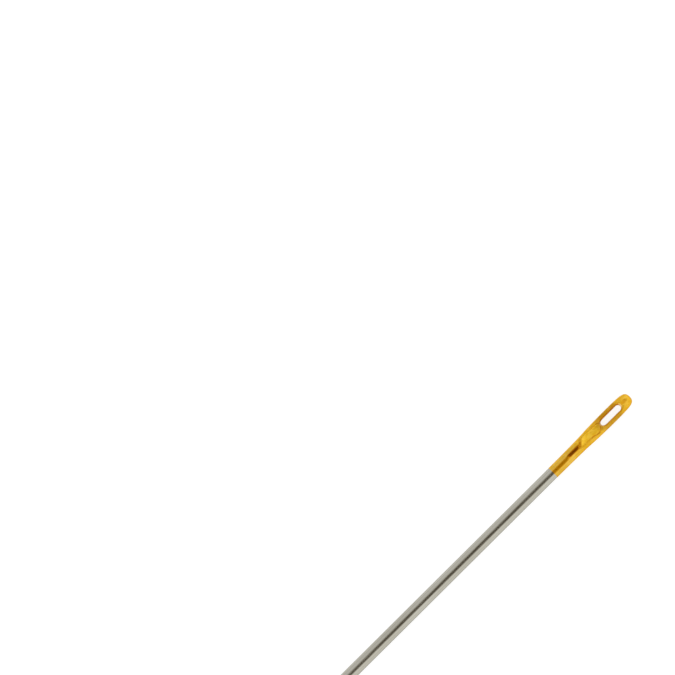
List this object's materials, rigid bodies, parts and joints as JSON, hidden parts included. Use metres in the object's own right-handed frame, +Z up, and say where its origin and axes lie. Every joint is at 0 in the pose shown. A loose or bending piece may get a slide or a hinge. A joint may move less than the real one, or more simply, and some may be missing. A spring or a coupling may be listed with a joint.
{
  "type": "beading needle",
  "caption": "Long thin beading needle with a bright nickel-plated steel shaft, a fine point and a gold-plated eye end with a narrow slot eye and stamped gutters.",
  "frame": {"origin": "on the surface the needle lies on, under the middle of its length: the centre of the bottom of its box", "axes": "+X along the needle towards the eye end, +Y across it, +Z up along the axis of the eye"},
  "size_m": [0.055, 0.0006, 0.0005],
  "materials": {
    "steel": "satin",
    "nickel": "polished",
    "gold": "polished"
  },
  "bodies": {
    "root": {"eye_end_wire": "steel", "shaft_wire": "steel", "nickel_plating": "nickel", "gold_plating": "gold"}
  },
  "joints": []
}
